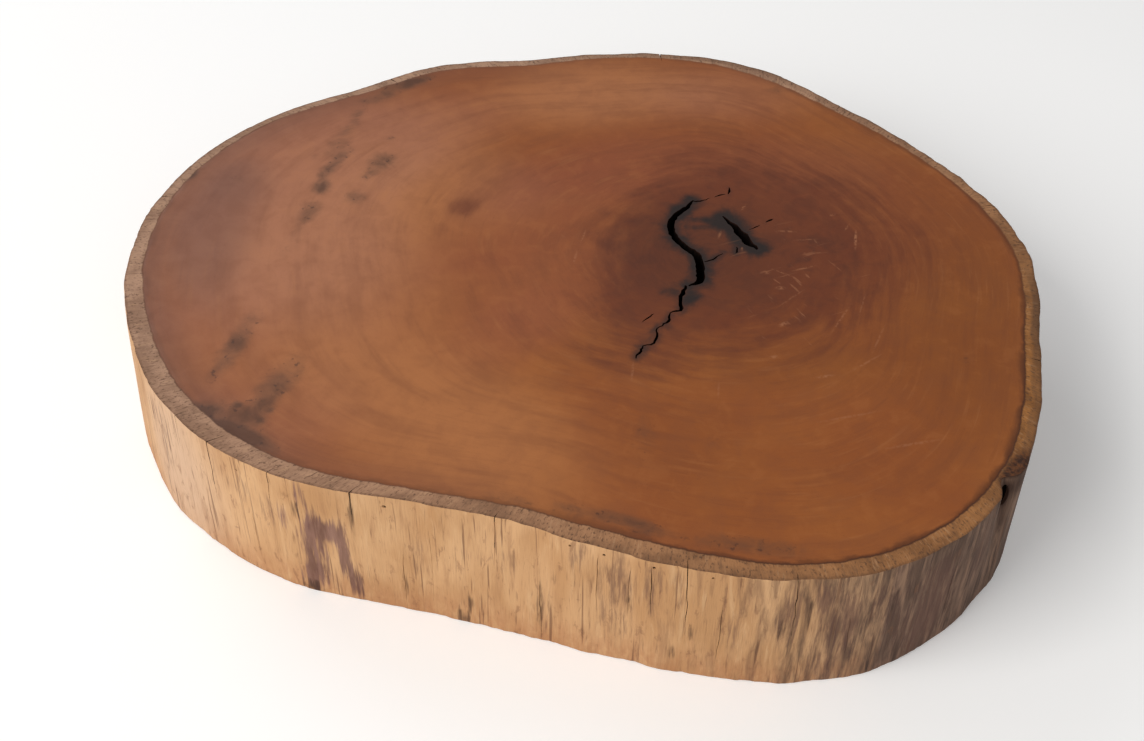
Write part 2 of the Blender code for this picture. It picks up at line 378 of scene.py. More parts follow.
# Stations, depth in mm, steps between stations, wander in mm, then reach and strength of the bloom
CRACKS = (
    (HEART_CRACK, 60, 4, 0.25, 7.5, 1.0), (KNOT_CRACK, 34, 3, 0.45, 8.0, 1.0),
    (ZIGZAG_CRACK, 22, 3, 0.55, 5.0, 0.55), (TAIL_CRACK, 8, 3, 0.3, 3.0, 0.4),
    (TAIL_DASH, 6, 3, 0.2, 2.5, 0.3), (SIDE_CRACK, 6, 3, 0.2, 2.5, 0.25),
    (LINK_CRACK, 5, 3, 0.25, 3.5, 0.6), (SPUR_CRACK, 7, 3, 0.2, 3.5, 0.6),
    (DOT_CRACK, 5, 3, 0.15, 2.5, 0.4), (BRANCH_DASH, 4, 3, 0.15, 2.0, 0.2),
    (BRANCH_DOT, 5, 3, 0.15, 2.0, 0.25))
# Half width of a crack as a share of its width at the face, from above the face down to the floor
CRACK_PROFILE = ((1.3, None), (1.1, 0.0), (0.98, 0.03), (0.86, 0.2), (0.64, 0.5), (0.4, 0.8), (0.2, 1.0))
ABOVE_FACE = 2 * MM
# How ragged the lips are, how far a crack leans with depth as a share of its width, and how it sways
LIP_RAGGED, CRACK_LEAN, CRACK_SWAY = 0.16, 0.35, 0.7

# Checks: bearing in degrees, opening, depth in mm, then the shares of the wall's height where each
# starts and ends, from the rim down
CHECKS = (
    (204.3, 0.4, 9, 0.0, 0.3), (209.0, 0.55, 13, 0.0, 0.55), (215.9, 0.4, 8, 0.0, 0.3),
    (223.8, 0.45, 9, 0.0, 0.3), (239.5, 0.4, 6, 0.0, 0.4), (264.3, 0.45, 9, 0.0, 0.62),
    (277.0, 0.4, 7, 0.0, 0.55), (333.0, 0.6, 8, 0.0, 0.5), (14.0, 0.6, 10, 0.0, 0.6),
    (57.0, 0.6, 7, 0.0, 0.4), (96.0, 0.8, 10, 0.0, 0.7), (139.0, 0.7, 8, 0.0, 0.45),
    (171.0, 0.7, 9, 0.0, 0.55), (202.3, 0.4, 3, 0.3, 0.62), (204.8, 0.4, 3, 0.62, 0.92),
    (207.7, 0.5, 3, 0.48, 0.95), (211.3, 0.3, 3, 0.52, 0.86), (213.4, 0.5, 4, 0.42, 0.82),
    (228.6, 0.4, 3, 0.48, 0.93), (231.6, 0.3, 2, 0.2, 0.88), (245.4, 0.5, 4, 0.46, 0.97),
    (253.1, 0.4, 3, 0.05, 0.6), (257.4, 0.4, 3, 0.1, 0.55), (260.0, 0.5, 3, 0.04, 0.5),
    (268.8, 0.4, 3, 0.3, 0.85), (284.0, 0.4, 3, 0.35, 0.8), (298.5, 0.5, 4, 0.25, 0.75),
    (318.0, 0.5, 4, 0.4, 0.85), (347.0, 0.5, 4, 0.3, 0.8), (32.0, 0.5, 4, 0.35, 0.9),
    (77.0, 0.4, 3, 0.45, 0.95), (118.0, 0.5, 4, 0.25, 0.7), (154.0, 0.4, 3, 0.4, 0.9),
    (187.0, 0.4, 3, 0.3, 0.75))
# Worm holes: bearing in degrees, level in mm, width in mm
WORM_HOLES = (
    (212.4, 85, 1.5), (227.0, 87, 2.2), (249.5, 90, 1.7), (253.9, 89, 1.9), (260.3, 90, 1.9),
    (267.4, 90, 1.6), (63.0, 61, 2.0), (109.0, 34, 1.6), (149.0, 72, 1.9), (340.0, 48, 1.8))
WORM_DEPTH = 6 * MM
# A check's form: how far its cutter stands out of the wall, its wander in mm to a section, sections to
# the wall's height and the fewest; the widths of its mouth and middle as shares of its opening, and how
# deep the middle lies and how far it bends; how ragged it is, the share of its length in which it
# opens, and how closed its ends are
OUTSIDE_WALL, CHECK_WANDER, CHECK_SECTIONS, LEAST_SECTIONS = 3 * MM, 0.26, 26, 6
CHECK_MOUTH, CHECK_MIDDLE, MIDDLE_DEPTH, CHECK_BEND = 1.15, 0.45, 0.55, 0.5 * MM
CHECK_RAGGED, CHECK_OPENS, LEAST_OPEN = 0.2, 0.25, 0.02
FIRST_CRACK_SEED, FIRST_CHECK_SEED = 51, 70
# The open pocket in the scar: bearing in degrees, level, half width, depth and half height in mm
SCAR_POCKET = (309.2, 81.0, 3.0, 6.0, 8.0)
# Corners round a bore, the square of its width at the tip, and its sections as shares of the way in
BORE_CORNERS, BORE_TIP = 12, 0.01
BORE_STEPS = (-0.6, -0.2, 0.2, 0.5, 0.75, 0.92, 0.99)


def station_curve(stations, steps):
    """Smooth open curve through stations, with even steps between each two."""
    stations = np.array(stations, dtype=float) * MM
    padded = np.vstack([2 * stations[0] - stations[1], stations, 2 * stations[-1] - stations[-2]])
    slopes = (padded[2:] - padded[:-2]) / 2
    along = (np.arange(steps) / steps)[:, None]
    spans = [cubic_span(along, stations[i], stations[i + 1], slopes[i], slopes[i + 1])
             for i in range(len(stations) - 1)]
    return np.vstack(spans + [stations[-1:]])


def tube_faces(sections, corners, first):
    """Faces of a closed tube of sections that have the same number of corners, with flat ends."""
    i, j = np.meshgrid(np.arange(sections - 1), np.arange(corners), indexing="ij")
    k = (j + 1) % corners
    here, after = i * corners, (i + 1) * corners
    sides = np.stack([here + j, here + k, after + k, after + j], axis=-1)
    ends = [list(range(corners))[::-1], list(range((sections - 1) * corners, sections * corners))]
    return (sides.reshape(-1, 4) + first).tolist() + [[first + corner for corner in end] for end in ends]


def crack_form(seed, stations, depth, steps, wander):
    """Points of a crack, section by section: each lip stands half a width off a wandering middle line
    and draws in with depth by the crack's profile; the depth goes with the root of the width."""
    draw = np.random.default_rng(seed)
    curve = station_curve(stations, steps)
    place, width = curve[:, :2], curve[:, 2]
    heading = np.gradient(place, axis=0)
    heading /= np.linalg.norm(heading, axis=1)[:, None]
    across = np.stack([-heading[:, 1], heading[:, 0]], axis=1)
    place = place + across * (wander * MM * draw.uniform(-1, 1, len(width)))[:, None]
    deep = depth * MM * np.sqrt(np.clip(width, 0, None) / width.max())
    points = []
    for side in (1, -1):
        profile = CRACK_PROFILE if side == 1 else CRACK_PROFILE[::-1]
        for share, level in profile:
            ragged = 1 + LIP_RAGGED * draw.uniform(-1, 1, len(width))
            sway = np.sin(np.arange(len(width)) * CRACK_SWAY + seed)
            lean = 0.0 if level is None else CRACK_LEAN * level * width * sway
            half = across * (side * share * ragged * width / 2 + lean)[:, None]
            up = THICKNESS + ABOVE_FACE if level is None else THICKNESS - level * deep
            points.append(np.column_stack([place + half, np.broadcast_to(up, len(width))]))
    return np.stack(points, axis=1)


def check_form(degrees, opening, depth, start, end, seed):
    """Points of a check, section by section down the wall: a wedge with its mouth outside the wall
    and its tip inside, which wanders a little sideways and closes towards its ends."""
    draw = np.random.default_rng(seed)
    count = max(LEAST_SECTIONS, int((end - start) * CHECK_SECTIONS))
    along = np.linspace(0, 1, count)
    level = THICKNESS * (1 - start - (end - start) * along)
    close = np.sqrt(np.clip(1 - along**2, LEAST_OPEN, 1))
    if start == 0:
        level[0] = THICKNESS + ABOVE_FACE
    else:
        close = close * np.sqrt(np.clip(along / CHECK_OPENS, LEAST_OPEN, 1))
    wander = np.cumsum(draw.normal(0, CHECK_WANDER, count)) * MM
    wander -= wander[0]
    bearing = np.full(count, math.radians(degrees))
    wall = wall_radius(bearing, np.clip(level, 0, THICKNESS)) - WALL_MARGIN
    bearing = bearing + wander / wall
    outward = np.stack([np.cos(bearing), np.sin(bearing)], axis=1)
    across = np.stack([-outward[:, 1], outward[:, 0]], axis=1)
    half = opening * MM / 2 * close * (1 + CHECK_RAGGED * draw.uniform(-1, 1, count))
    tip = depth * MM * close
    bend = across * (CHECK_BEND * draw.uniform(-1, 1))
    corners = [(wall + OUTSIDE_WALL, half * CHECK_MOUTH, 0), (wall, half, 0),
               (wall - MIDDLE_DEPTH * tip, CHECK_MIDDLE * half, bend), (wall - tip, 0 * half, 0),
               (wall - MIDDLE_DEPTH * tip, -CHECK_MIDDLE * half, bend), (wall, -half, 0),
               (wall + OUTSIDE_WALL, -half * CHECK_MOUTH, 0)]
    corners = [outward * out[:, None] + across * side[:, None] + shift for out, side, shift in corners]
    return np.stack([np.column_stack([corner, level]) for corner in corners], axis=1)


def bore_form(degrees, level, half_wide, reach, half_tall):
    """Points of a blunt bore into the wall: rings round an axis that points at the pith, as wide as the
    square root of one minus the fourth power of the way in."""
    bearing = math.radians(degrees)
    outward = np.array([math.cos(bearing), math.sin(bearing), 0.0])
    sideways = np.array([-outward[1], outward[0], 0.0])
    wall = wall_radius(np.array([bearing]), level * MM)[0]
    around = np.arange(BORE_CORNERS) * 2 * math.pi / BORE_CORNERS
    into = np.array(BORE_STEPS)
    size = np.sqrt(np.clip(1 - np.clip(into, 0, 1) ** 4, BORE_TIP, 1))
    ring = half_wide * np.cos(around)[:, None] * sideways + half_tall * np.sin(around)[:, None] * [0, 0, 1]
    axis = outward * (wall - into * reach)[:, None] + np.array([0, 0, level * MM])
    return axis[:, None, :] + ring[None] * size[:, None, None]


def cutter(name, forms):
    """One object of all the forms, each a closed tube, with its faces pointing out."""
    points, faces, first = [], [], 0
    for form in forms:
        sections, corners = form.shape[:2]
        points.append(form.reshape(-1, 3) + np.array([PITH[0], PITH[1], 0.0]))
        part = tube_faces(sections, corners, first)
        middle = form.mean(axis=1)
        ring = form[sections // 2] - middle[sections // 2]
        facing = np.cross(ring, np.roll(ring, -1, axis=0)).sum(axis=0)
        if facing @ (middle[sections // 2 + 1] - middle[sections // 2]) < 0:
            part = [face[::-1] for face in part]
        faces += part
        first += sections * corners
    mesh = bpy.data.meshes.new(name)
    mesh.from_pydata(np.vstack(points), [], faces)
    thing = bpy.data.objects.new(name, mesh)
    bpy.context.scene.collection.objects.link(thing)
    return thing


def cut(body, tool):
    """Take the tool's form out of the body and keep the result as the body's own mesh."""
    step = body.modifiers.new("cut", "BOOLEAN")
    step.operation, step.solver, step.object = "DIFFERENCE", "MANIFOLD", tool
    shown = body.evaluated_get(bpy.context.evaluated_depsgraph_get())
    result = bpy.data.meshes.new_from_object(shown)
    body.modifiers.clear()
    body.data = result
    bpy.data.objects.remove(tool)


crack_forms = [crack_form(FIRST_CRACK_SEED + number, *crack[:4]) for number, crack in enumerate(CRACKS)]
check_forms = [check_form(*check, FIRST_CHECK_SEED + number) for number, check in enumerate(CHECKS)]
hole_forms = [bore_form(degrees, level, width * MM / 2, WORM_DEPTH, width * MM / 2)
              for degrees, level, width in WORM_HOLES]
pocket = bore_form(SCAR_POCKET[0], SCAR_POCKET[1], *(size * MM for size in SCAR_POCKET[2:]))

cut(wood_slice, cutter("heart_cutter", crack_forms[:2] + check_forms))
cut(wood_slice, cutter("branch_cutter", crack_forms[2:] + hole_forms))
cut(wood_slice, cutter("pocket_cutter", [pocket]))

# Tones of the wood
# Growth rings close round the pith and follow the outline further out. The heart is darker and wine
# red round the cracks, mineral stains run through it, and the wall is weathered grey on one side.
# Painted light is laid in as well: broad zones of the face are painted lighter to the left, darker
# to the right and hazy with painted sheen, the wall's left end is painted paler and its right side
# into shade.

# The slice's mean radius in mm, to which the outer rings are scaled
MEAN_RADIUS = 250.0
# Waves of the growth rings: how many go round, their size in mm and where they start; then the
# distances in mm between which they grow, the mm in which they turn, and the mm to a unit of rings
RING_WAVES = ((3, 2.2, 0.4), (5, 1.6, 2.1), (8, 1.0, 4.0), (13, 0.5, 1.1))
RING_SWING, RING_TWIST, RING_UNIT = (15, 120), 90, 100
# How far from the pith, in mm, the rings' pattern fades to a plain one
PITH_CALM = 40.0
# Reach of the wine-red heart in mm, in even steps from +X, and the shares of it where it fades
DUSK_REACH = (138, 138, 124, 98, 74, 58, 54, 78, 110, 84, 84, 114)
DUSK_FADE = (0.46, 1.62)
# The darkest heart: middle in mm, how much longer it is in X, and where it starts and stops fading
DEEP_X, DEEP_Y, DEEP_STRETCH, DEEP_REACH = -12, 0, 1.20, (10, 72)
# Golden, brown, rosy, ruddy and hazy zones of the face, listed as the stains below. Besides the
# wood's own tones they hold painted light: the golden zones are painted lighter towards the lit left,
# the brown ones painted into shade towards the right, the rosy ones painted paler with sheen, and the
# hazy ones are painted reflection of the oil.
GOLDEN_AND_PAINTED_LIGHT_ZONES = (
    (-240, 10, 80, 120, 0, 0.65), (-150, -150, 95, 60, -35, 0.85), (-75, 170, 75, 45, 10, 0.9),
    (30, 170, 60, 34, 0, 0.3), (-165, 70, 60, 50, 0, 0.35))
UMBER_AND_PAINTED_SHADE_ZONES = (
    (152, -60, 62, 130, 0, 0.75), (40, -98, 60, 28, 0, 0.6), (-20, -165, 50, 45, 0, 0.35),
    (100, 90, 60, 50, 30, 0.35))
ROSY_AND_PAINTED_SHEEN_ZONES = (
    (-262, 60, 75, 120, 0, 0.9), (-200, -40, 60, 70, 0, 0.3), (-195, 118, 70, 45, 30, 0.65),
    (-60, 165, 80, 40, 0, 0.4), (35, 165, 60, 40, 0, 0.45), (-130, 60, 40, 40, 0, 0.4),
    (-305, -10, 50, 120, 0, 0.4), (-250, -140, 50, 45, 0, 0.4))
RUDDY_ZONES = (
    (-100, -5, 75, 70, 0, 0.62), (-45, 85, 85, 42, 10, 0.7), (70, 85, 60, 40, 0, 0.45),
    (-125, -75, 50, 30, 30, 0.45), (95, 25, 80, 80, 0, 0.5))
PAINTED_HAZE_ZONES = ((-316, 20, 34, 80, 0, 0.8), (-300, 75, 26, 30, 40, 0.35))
# Stains on the upper face: x, y, half length, half width in mm, turn in degrees, strength
FACE_STAINS = (
    (-247, 65, 8, 6, 70, 0.9), (-246, 80, 9, 5, 60, 0.75), (-238, 95, 12, 5, 60, 0.65),
    (-231, 143, 8, 4, 60, 0.55), (-235, 128, 9, 4, 60, 0.45), (-240, 112, 18, 8, 62, 0.35),
    (-210, 91, 10, 9, 40, 0.62), (-218, 77, 7, 5, 60, 0.5), (-225, 53, 8, 7, 60, 0.6),
    (-207, 116, 4, 3, 60, 0.45), (-203, 150, 2, 2, 0, 0.3), (-253, 40, 12, 8, 70, 0.45),
    (-260, 12, 22, 5, 74, 0.22), (-258, 96, 5, 4, 0, 0.25), (-305, 72, 8, 7, 0, 0.2),
    (-279, -68, 18, 7, 68, 0.46), (-285, -88, 15, 8, 64, 0.52), (-289, -104, 12, 6, 64, 0.38),
    (-250, -106, 17, 10, 66, 0.48), (-259, -122, 14, 10, 60, 0.5), (-262, -136, 12, 8, 66, 0.4),
    (-275, -132, 2.8, 2.4, 0, 0.9), (-256, -136, 2.4, 2.4, 0, 0.6), (-260, -144, 2.4, 2.4, 0, 0.6),
    (-289, -136, 6, 4, 0, 0.6), (-297, -136, 9, 5, -40, 0.85), (-292, -145, 9, 5, -45, 0.95),
    (-280, -151, 13, 7, -32, 0.95), (-268, -156, 12, 6, -30, 0.85), (-258, -163, 14, 6, -28, 0.7),
    (-276, -142, 24, 12, -34, 0.5), (-203, 178, 17, 7, 22, 0.75), (-219, 162, 14, 6, 28, 0.6),
    (-190, 184, 9, 5, 20, 0.45), (-335, 78, 6, 5, 60, 0.8), (-45, -160, 26, 8, 84, 0.26),
    (-5, -160, 20, 7, 80, 0.18), (60, 172, 12, 6, 0, 0.25), (145, -95, 6, 4, 30, 0.25),
    (-75, -212, 24, 5, -14, 0.55), (-44, -223, 18, 5, -18, 0.6), (9, -234, 28, 6, -8, 0.55),
    (-118, -202, 14, 4, -20, 0.35))
RED_BLOTCHES = ((-154, 44, 12, 10, 20, 0.74), (-169, 21, 14, 7, 60, 0.3), (-120, 70, 30, 12, 30, 0.15))
# Blots of the blue-grey bloom that also lies beside the cracks, where it follows this many steps to
# each stretch between stations
BLOOM_BLOTS = (
    (-26, -37, 7, 5, 20, 0.6), (-11, -40, 8, 6, 60, 0.55), (-18, -41, 13, 7, 75, 0.5),
    (-17, -52, 8, 6, 70, 0.45), (4, 30, 13, 3.4, -12, 0.7), (-2, 24, 13, 2.8, 4, 0.5),
    (2, 32, 17, 14, 0, 0.16), (21, 14, 14, 9, -58, 0.85), (16, 24, 9, 7, -50, 0.45),
    (66, -2, 30, 24, 0, 0.2), (12, 37, 6, 4, 0, 0.4), (-24, 30, 6, 12, 80, 0.35))
BLOOM_STEPS = 6
# Marks on the wall: bearing in degrees, level, half width, half height in mm, strength
PLUM_MARKS = (
    (200.0, 78, 4, 16, 0.3), (218.8, 84, 3, 12, 0.55), (219.6, 44, 7, 26, 0.95), (219.2, 14, 7, 14, 0.95),
    (222.4, 44, 4.5, 24, 0.95), (223.4, 16, 4, 14, 0.8), (216.9, 62, 3, 12, 0.5), (221.0, 58, 7, 9, 0.9),
    (160.0, 58, 7, 22, 0.55), (48.0, 30, 8, 22, 0.5))
SMOKE_MARKS = (
    (201.5, 60, 6, 30, 0.45), (212.4, 70, 6, 12, 0.45), (215.2, 60, 6, 16, 0.45), (230.4, 52, 5, 24, 0.3),
    (241.0, 60, 8, 12, 0.3), (246.0, 28, 5, 22, 0.4), (250.4, 84, 6, 14, 0.55), (255.6, 68, 10, 28, 0.75),
    (255.2, 30, 14, 20, 0.35), (260.0, 74, 6, 24, 0.7), (263.4, 74, 4, 18, 0.4), (270.5, 50, 6, 34, 0.3),
    (276.6, 66, 7, 30, 0.75), (280.4, 76, 5, 14, 0.6), (284.0, 58, 6, 22, 0.6), (282.5, 40, 14, 60, 0.56),
    (289.5, 50, 9, 60, 0.4), (287.0, 70, 5, 26, 0.45), (296.0, 52, 16, 34, 0.8), (295.0, 24, 13, 24, 0.95),
    (304.0, 58, 8, 26, 0.6), (315.0, 40, 12, 34, 0.5), (334.0, 50, 10, 30, 0.45), (352.0, 36, 8, 24, 0.4),
    (20.0, 62, 9, 22, 0.45), (83.0, 66, 8, 20, 0.4), (104.0, 42, 11, 30, 0.5), (126.0, 24, 9, 20, 0.35),
    (181.0, 40, 7, 22, 0.35))
SOOT_MARKS = (
    (218.4, 70, 3.0, 8, 0.65), (218.9, 3, 7.0, 6, 0.8), (223.8, 76, 2.0, 20, 0.7),
    (228.6, 28, 2.0, 20, 0.4), (235.4, 3, 4.0, 6, 0.95), (236.2, 17, 3.5, 8, 0.45),
    (245.3, 28, 2.2, 24, 0.55), (250.0, 60, 2.2, 12, 0.4), (256.8, 56, 4.0, 14, 0.45),
    (265.3, 40, 3.5, 7, 0.6), (276.8, 50, 6.0, 12, 0.6), (263.0, 18, 4.0, 8, 0.4),
    (279.0, 64, 2.6, 16, 0.5), (289.5, 70, 3.0, 16, 0.5), (299.0, 38, 4.0, 26, 0.45),
    (318.0, 40, 2.5, 24, 0.5), (68.0, 50, 2.5, 20, 0.5), (92.0, 70, 3.0, 16, 0.5),
    (146.0, 44, 2.5, 26, 0.5), (352.0, 60, 2.5, 22, 0.5))
# Painted light: the wall's left end painted paler where the main lamp falls on it, listed as the marks
# above
PAINTED_LIGHT_MARKS = ((184.0, 50, 46, 90, 1.0), (203.0, 44, 38, 85, 0.9))
# The dark wood at the branch scar, on the face and on the wall, the levels in mm where the face takes
# over, and how much the wall's share drops there
SCAR_FACE = (
    (153, -187, 9, 5, 50, 1.0), (160, -178, 9, 6, 48, 0.9), (166, -169, 7, 5, 48, 0.55),
    (150, -172, 5, 1.6, 20, 0.55))
SCAR_WALL = (
    (309.0, 82, 4.5, 10, 1.0), (309.4, 66, 3, 18, 0.5), (312.0, 86, 11, 11, 0.75), (305.4, 92, 4, 5, 0.5))
TOP_BAND, TOP_DROP = (93.0, 94.5), 0.4
# Scratched places and single pale flecks of the face, listed as the stains
SCRATCHED = ((56, -8, 42, 32, 0, 0.44), (45, -62, 30, 24, 20, 0.36), (-80, 8, 16, 20, 0, 0.18))
FLECKS = (
    (93, 12, 8, 0.9, 82, 0.85), (89, 24, 3.5, 0.7, 60, 0.5), (81, 36, 2.4, 1.0, 20, 0.4),
    (-78, 15, 6, 0.7, 75, 0.45), (-83, -5, 6, 0.8, 80, 0.45), (42, -33, 2.8, 1.5, 0, 0.55),
    (41, -65, 3.2, 1.4, 30, 0.6), (34, -19, 3.0, 1.6, 10, 0.5), (58, -15, 7, 0.8, 18, 0.5),
    (44, -19, 7, 0.6, -30, 0.45), (48, -42, 10, 0.6, 42, 0.4), (61, -109, 5, 1.1, 10, 0.55),
    (33, -93, 2.6, 1.5, 0, 0.5), (-50, -105, 7, 0.8, 85, 0.4), (51, 20, 6, 0.9, -4, 0.45),
    (66, -1, 8, 0.6, 8, 0.4), (62, 12, 7, 0.6, 5, 0.35), (25, 44, 3, 0.9, 60, 0.5),
    (8, 17, 3.4, 0.9, 72, 0.5), (21, 3, 2, 0.7, 80, 0.45), (76, -60, 13, 0.7, 60, 0.42),
    (90, -48, 9, 0.6, 72, 0.35), (86, -98, 11, 0.7, 36, 0.42), (104, -162, 16, 1.0, 12, 0.4),
    (71, -141, 18, 0.9, 14, 0.36), (-1, -120, 6, 0.7, 85, 0.32), (96, -78, 12, 0.7, 66, 0.32))
# A faint red ring: middle, reach and half width in mm, strength
FAINT_LOOP = (-60, 21, 15, 5, 0.22)
# Brownish haze inside the edge of the heartwood: reach in mm, and strength in even steps from +X
RIM_HAZE_REACH = 24.0
RIM_HAZE = (0.14, 0.14, 0.2, 0.25, 0.45, 0.7, 0.8, 0.6, 0.28, 0.22, 0.16, 0.14)
# How dark the outer half of the sapwood ring is painted, in even steps from +X: it stands in for the
# wall that bulges out there and would show from above, weathered grey and in shade
RING_SHADE = (
    0.12, 0.15, 0.15, 0.1, 0.15, 0.4, 0.45, 0.25, 0.08, 0.05, 0.1, 0.1, 0.05, 0.1, 0.15, 0.1, 0.05, 0.1,
    0.2, 0.15, 0.15, 0.45, 0.55, 0.85)
# Golden sapwood, in even steps from +X, and how dark the line is between it and the heartwood
RING_GOLD = (0.8, 0.5, 0.2, 0.1, 0.0, 0.0, 0.0, 0.12, 0.45, 0.75, 0.9, 1.0)
EDGE_LINE = (
    0.6, 0.55, 0.5, 0.45, 0.4, 0.35, 0.3, 0.25, 0.25, 0.25, 0.3, 0.35, 0.4, 0.45, 0.5, 0.55, 0.65, 0.8,
    0.9, 0.95, 1.0, 1.0, 0.95, 0.8)
# Weathering of the wall in even steps from +X, which also paints shade on the side turned away from
# the main lamp; the bearings between which it sets in at a sharp edge, with its strength there, and
# those between which that strength ends
WEATHERED_AND_SHADED = (
    0.75, 0.65, 0.55, 0.5, 0.4, 0.35, 0.4, 0.45, 0.4, 0.3, 0.25, 0.2, 0.12, 0.04, 0.0, 0.02, 0.0, 0.04,
    0.2, 0.62, 1.0, 1.0, 0.95, 0.85)
WEATHER_EDGE = (286.8, 289.2, 0.95)
WEATHER_END = (330, 350)


def face_marks(marks, x, y):
    """Sum of soft-edged ovals on the upper face: strength times exp(-(l^2 + w^2)^1.5), with l and w
    the distances along and across each oval in its half sizes."""
    total = np.zeros_like(x)
    for at_x, at_y, long, wide, turn, strength in marks:
        c, s = math.cos(math.radians(turn)), math.sin(math.radians(turn))
        away_x, away_y = x - at_x, y - at_y
        along, across = (away_x * c + away_y * s) / long, (away_y * c - away_x * s) / wide
        total += strength * np.exp(-(along**2 + across**2) ** 1.5)
    return total


def wall_marks(marks, bearing, height, radius):
    """Sum of soft-edged ovals on the wall, given by bearing and level, with 1.4 as the power."""
    total = np.zeros_like(height)
    for degrees, level, wide, tall, strength in marks:
        away = (np.degrees(bearing) - degrees + 180) % 360 - 180
        sideways, up = np.radians(away) * radius / wide, (height - level) / tall
        total += strength * np.exp(-(sideways**2 + up**2) ** 1.4)
    return total


def keep(mesh, name, values):
    """Store values on the mesh's points under a name, as numbers or as vectors."""
    kind, field = ("FLOAT", "value") if values.ndim == 1 else ("FLOAT_VECTOR", "vector")
    mesh.attributes.new(name, kind, "POINT").data.foreach_set(field, values.astype(np.float32).ravel())


shape = wood_slice.data
point = np.empty(3 * len(shape.vertices), dtype=np.float32)
shape.vertices.foreach_get("co", point)
x, y, z = (point.reshape(-1, 3).astype(float) - [PITH[0], PITH[1], 0.0]).T / MM
turn = np.arctan2(y, x) % (2 * math.pi)
reach = np.hypot(x, y)
outline = ring_curve(RIM_RADII, turn)
inset = (wall_radius(turn, THICKNESS) - WALL_MARGIN) / MM - reach

follow = rise(reach / outline, 0.0, 1.0)
growth = reach * (1 - follow + follow * MEAN_RADIUS / outline)
for count, size, start in RING_WAVES:
    growth = growth + size * rise(reach, *RING_SWING) * np.sin(count * turn + start + reach / RING_TWIST)
calm = np.sqrt(reach**2 + PITH_CALM**2)
keep(shape, "ring_space", np.stack([x / calm, y / calm, growth / RING_UNIT], axis=1))
around = 2 * math.pi * even_share(turn)
rim_mm = OUTLINE_LENGTH / MM / (2 * math.pi)
keep(shape, "rim_space", np.stack([np.cos(around) * rim_mm, np.sin(around) * rim_mm, inset], axis=1) * MM)
heart_edge = heart_radius(turn) / MM - reach
keep(shape, "heart_edge", heart_edge)
haze = np.exp(-(np.clip(heart_edge, 0, None) / RIM_HAZE_REACH) ** 2)
haze = haze * np.clip(ring_curve(RIM_HAZE, turn), 0, 1)
# The hazy zones at the far left are painted reflection of the oil, kept with the brownish band inside the
# rim.
keep(shape, "rim_band_and_painted_haze", np.maximum(haze, face_marks(PAINTED_HAZE_ZONES, x, y)))
dusk_reach = ring_curve(DUSK_REACH, turn)
dusk = 1 - rise(growth / dusk_reach, *DUSK_FADE)
loop_x, loop_y, loop_reach, loop_wide, loop_strength = FAINT_LOOP
loop_away = np.hypot(x - loop_x, y - loop_y) - loop_reach
dusk = dusk + face_marks(RED_BLOTCHES, x, y) + loop_strength * np.exp(-(loop_away / loop_wide) ** 2)
keep(shape, "dusk", dusk)
keep(shape, "deep_dusk", 1 - rise(np.hypot((x - DEEP_X) / DEEP_STRETCH, y - DEEP_Y), *DEEP_REACH))
for name, marks in (("golden", GOLDEN_AND_PAINTED_LIGHT_ZONES), ("umber_and_painted_shade", UMBER_AND_PAINTED_SHADE_ZONES), ("rosy_and_painted_sheen", ROSY_AND_PAINTED_SHEEN_ZONES),
                    ("ruddy", RUDDY_ZONES), ("stain", FACE_STAINS), ("scratched", SCRATCHED)):
    keep(shape, name, face_marks(marks, x, y))
bloom = face_marks(BLOOM_BLOTS, x, y)
for stations, _, _, _, wide, strength in CRACKS:
    line = station_curve(stations, BLOOM_STEPS)[:, :2] / MM
    close = np.full_like(x, np.inf)
    for at_x, at_y in line:
        close = np.minimum(close, np.hypot(x - at_x, y - at_y))
    bloom = np.maximum(bloom, strength * np.exp(-(close / wide) ** 2))
keep(shape, "bloom", bloom)
for name, marks in (("plum", PLUM_MARKS), ("smoke", SMOKE_MARKS), ("soot", SOOT_MARKS),
                    ("painted_light", PAINTED_LIGHT_MARKS)):
    keep(shape, name, wall_marks(marks, turn, z, reach))
on_top = rise(z, *TOP_BAND)
scar = wall_marks(SCAR_WALL, turn, z, reach) * (1 - TOP_DROP * on_top)
scar = scar + face_marks(SCAR_FACE, x, y) * on_top
keep(shape, "scar", np.clip(scar, 0, 1))
for name, values in (("ring_gold", RING_GOLD), ("ring_shade", RING_SHADE), ("edge_line", EDGE_LINE)):
    keep(shape, name, np.clip(ring_curve(values, turn), 0, 1))
edge_low, edge_high, edge_size = WEATHER_EDGE
degrees_round = np.degrees(turn)
sharp_edge = edge_size * rise(degrees_round, edge_low, edge_high) * (1 - rise(degrees_round, *WEATHER_END))
keep(shape, "weathered_and_shaded", np.maximum(ring_curve(WEATHERED_AND_SHADED, turn), sharp_edge))

# Finishes
# The heartwood is sanded and oiled to a satin sheen, over rings that show as broken strokes. The
# sapwood ring round it is dry, gritty and greyer. The wall is bare dry wood with its fibres showing.

# The angle past which an edge of the mesh stays sharp
SHARP_EDGE = math.radians(34)
TO_MM = 1000.0
# Faces turned this far up or down, within these bands in metres, belong to the upper face or the
# underside, and others this close to the wall belong to it
LEVEL_FACING = 0.6
FACE_BAND, FOOT_BAND, WALL_BAND = 1.2 * MM, 1.0 * MM, 1.3 * MM


def tone(red, green, blue):
    """A colour given as a screen shows it, 0 to 255, as the amounts of light that a shader takes."""
    share = np.array([red, green, blue]) / 255
    light = np.where(share <= 0.04045, share / 12.92, ((share + 0.055) / 1.055) ** 2.4)
    return (*light.tolist(), 1.0)


